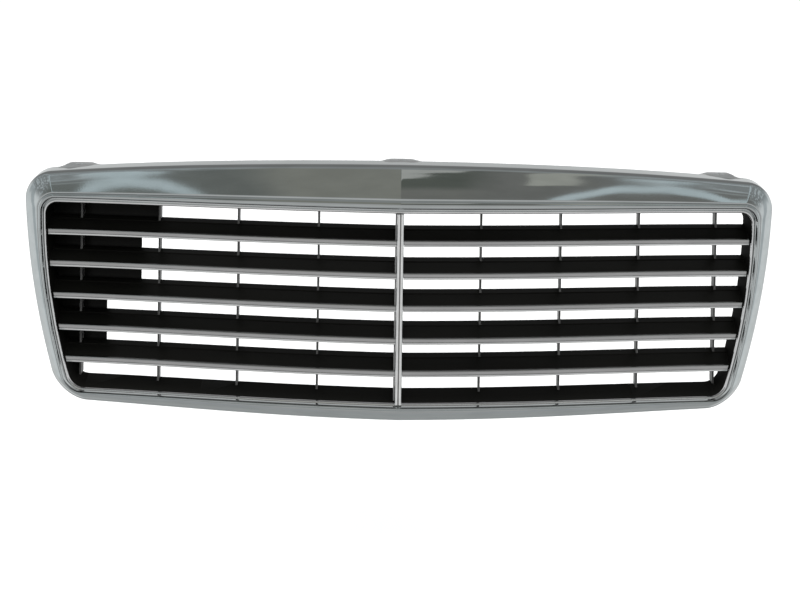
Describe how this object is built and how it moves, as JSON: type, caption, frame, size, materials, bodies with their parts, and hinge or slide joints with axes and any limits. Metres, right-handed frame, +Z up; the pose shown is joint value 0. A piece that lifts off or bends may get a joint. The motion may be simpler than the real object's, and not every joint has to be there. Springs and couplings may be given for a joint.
{
  "type": "front grille",
  "caption": "Wide chromed car grille, bowed and leaning back, with a black louvred insert, bright slats, an upright centre bar and bonnet ears.",
  "frame": {"origin": "on top of the middle bonnet ear, on the centre line, just behind its hole", "axes": "+X across the car, to the right as seen from the front; +Y to the rear; +Z up"},
  "size_m": [0.7402, 0.1363, 0.2443],
  "materials": {
    "chrome_surround": "polished chrome plate over moulded plastic",
    "chrome_trim": "bright chrome plate on thin clip-on trim",
    "black_plastic": "black moulded plastic, semi-gloss on the louvres",
    "zinc_steel": "zinc-plated screws"
  },
  "bodies": {
    "root": {"surround_frame": "chrome_surround", "trim_ring": "chrome_trim", "insert_carrier": "black_plastic", "centre_post": "black_plastic", "centre_bar": "chrome_surround", "blanking_panel": "black_plastic", "louvre_left_1": "black_plastic", "slat_left_1": "chrome_trim", "louvre_right_1": "black_plastic", "slat_right_1": "chrome_trim", "louvre_left_2": "black_plastic", "slat_left_2": "chrome_trim", "louvre_right_2": "black_plastic", "slat_right_2": "chrome_trim", "louvre_left_3": "black_plastic", "slat_left_3": "chrome_trim", "louvre_right_3": "black_plastic", "slat_right_3": "chrome_trim", "louvre_left_4": "black_plastic", "slat_left_4": "chrome_trim", "louvre_right_4": "black_plastic", "slat_right_4": "chrome_trim", "louvre_left_5": "black_plastic", "slat_left_5": "chrome_trim", "louvre_right_5": "black_plastic", "slat_right_5": "chrome_trim", "rib_left_1": "black_plastic", "rib_left_2": "black_plastic", "rib_left_3": "black_plastic", "rib_left_4": "black_plastic", "insert_screw_top_left_1": "zinc_steel", "insert_screw_side_left_1": "zinc_steel", "insert_screw_top_left_2": "zinc_steel", "insert_screw_side_left_2": "zinc_steel", "rib_right_1": "black_plastic", "rib_right_2": "black_plastic", "rib_right_3": "black_plastic", "rib_right_4": "black_plastic", "insert_screw_top_right_1": "zinc_steel", "insert_screw_side_right_1": "zinc_steel", "insert_screw_top_right_2": "zinc_steel", "insert_screw_side_right_2": "zinc_steel", "panel_screw_top": "zinc_steel", "panel_screw_side_1": "zinc_steel", "panel_screw_side_2": "zinc_steel"}
  },
  "joints": []
}
